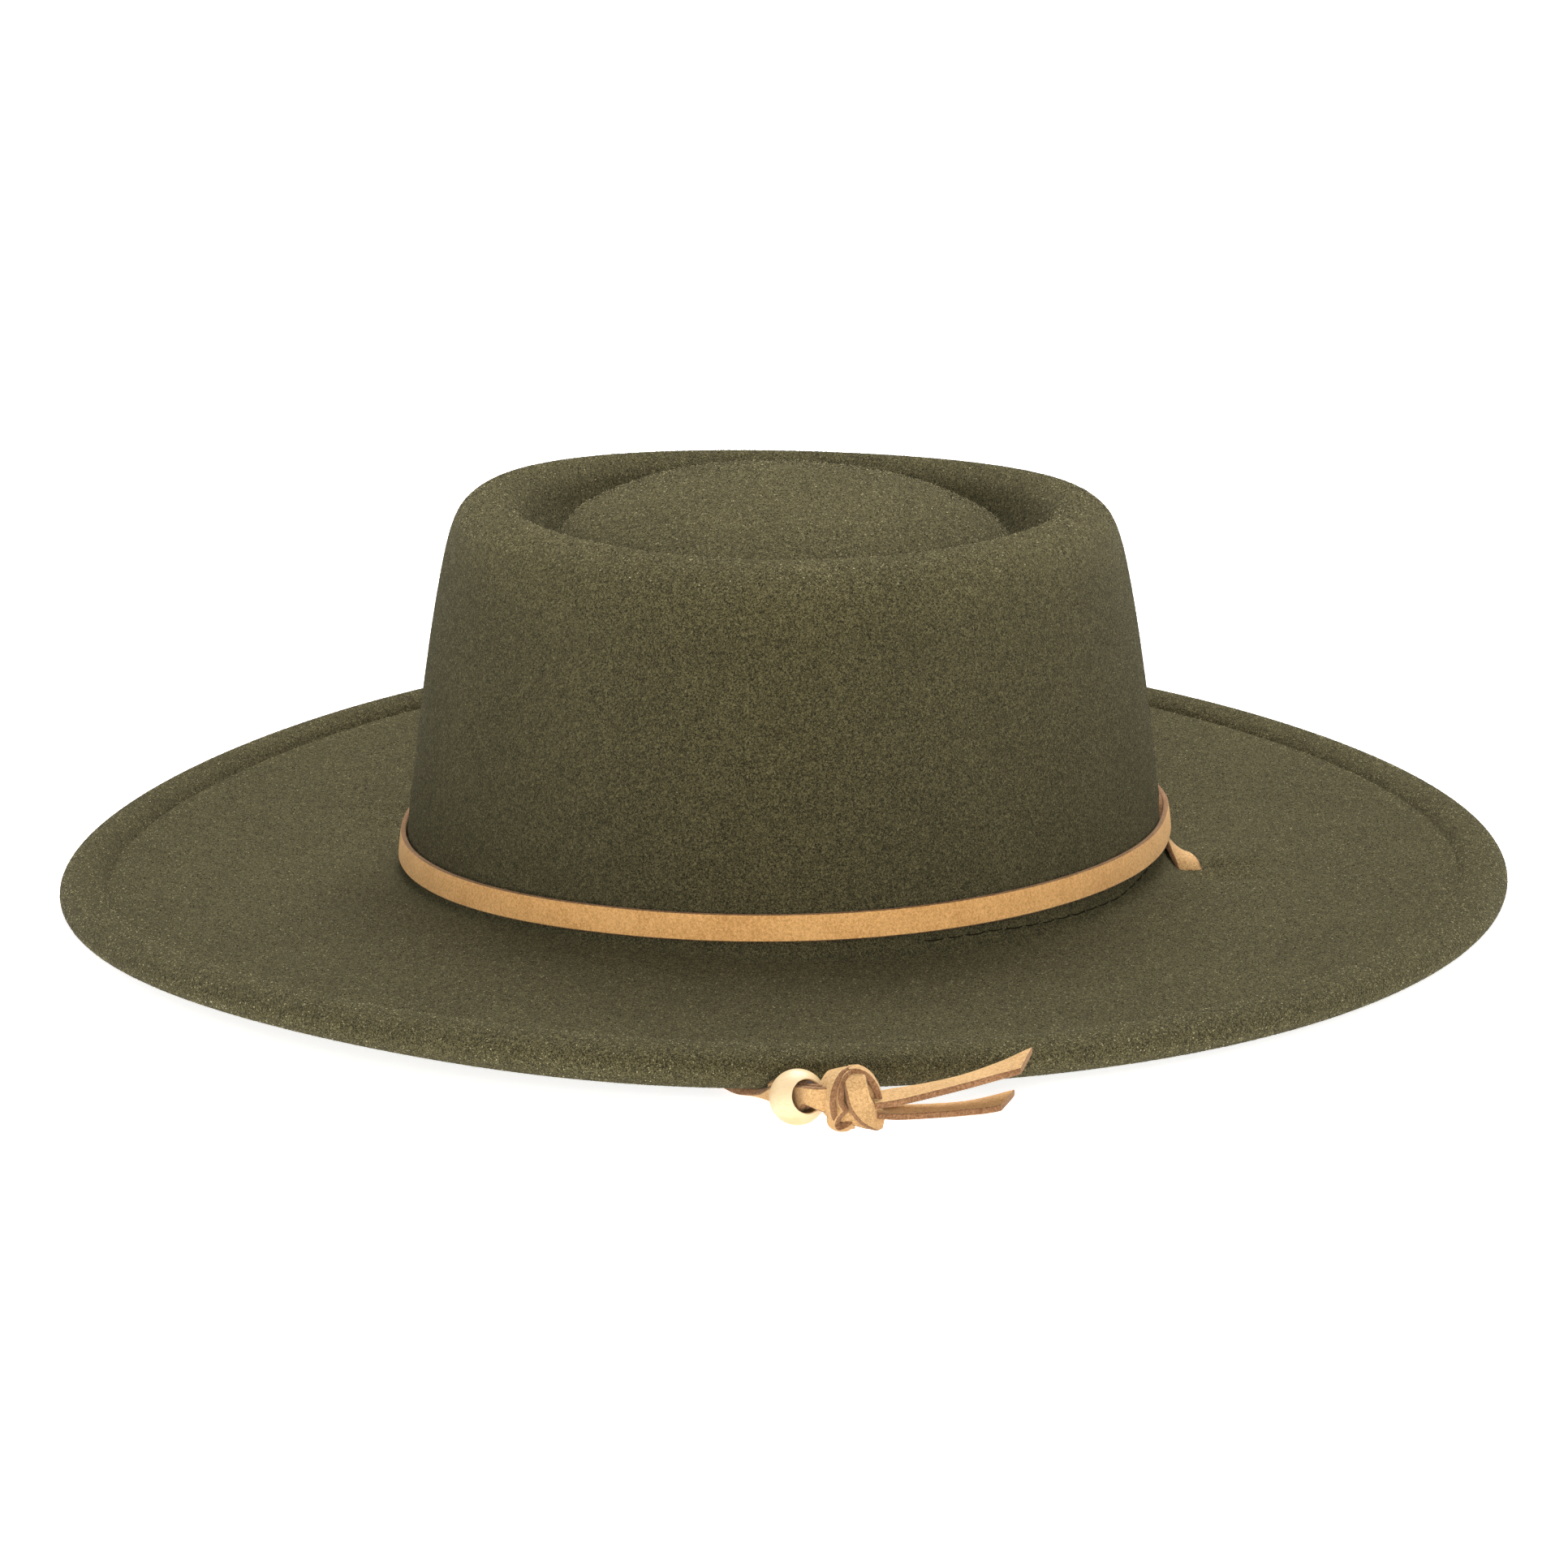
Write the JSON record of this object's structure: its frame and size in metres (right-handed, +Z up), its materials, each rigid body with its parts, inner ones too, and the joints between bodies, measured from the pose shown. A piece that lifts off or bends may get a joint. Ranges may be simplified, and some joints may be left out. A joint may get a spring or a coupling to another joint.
{
  "type": "felt hat",
  "caption": "Wide-brimmed wool felt hat with a domed telescope crown, a suede band and a suede chin lace with a wooden bead.",
  "frame": {"origin": "on the surface that the hat rests on, under the middle of the brim", "axes": "+Z up through the crown, -Y the wearer's front, +X the right side seen from the front"},
  "size_m": [0.3316, 0.3801, 0.098],
  "materials": {
    "felt": "olive wool felt, soft and slightly hairy",
    "suede": "tan suede with darker cut edges",
    "bead_wood": "pale turned wood, lightly waxed"
  },
  "bodies": {
    "root": {"felt_body": "felt", "crown_band": "suede", "chin_lace_back": "suede", "chin_lace_right": "suede", "chin_lace_left": "suede", "bead": "bead_wood", "knot": "suede", "tail_upper": "suede", "tail_lower": "suede"}
  },
  "joints": []
}
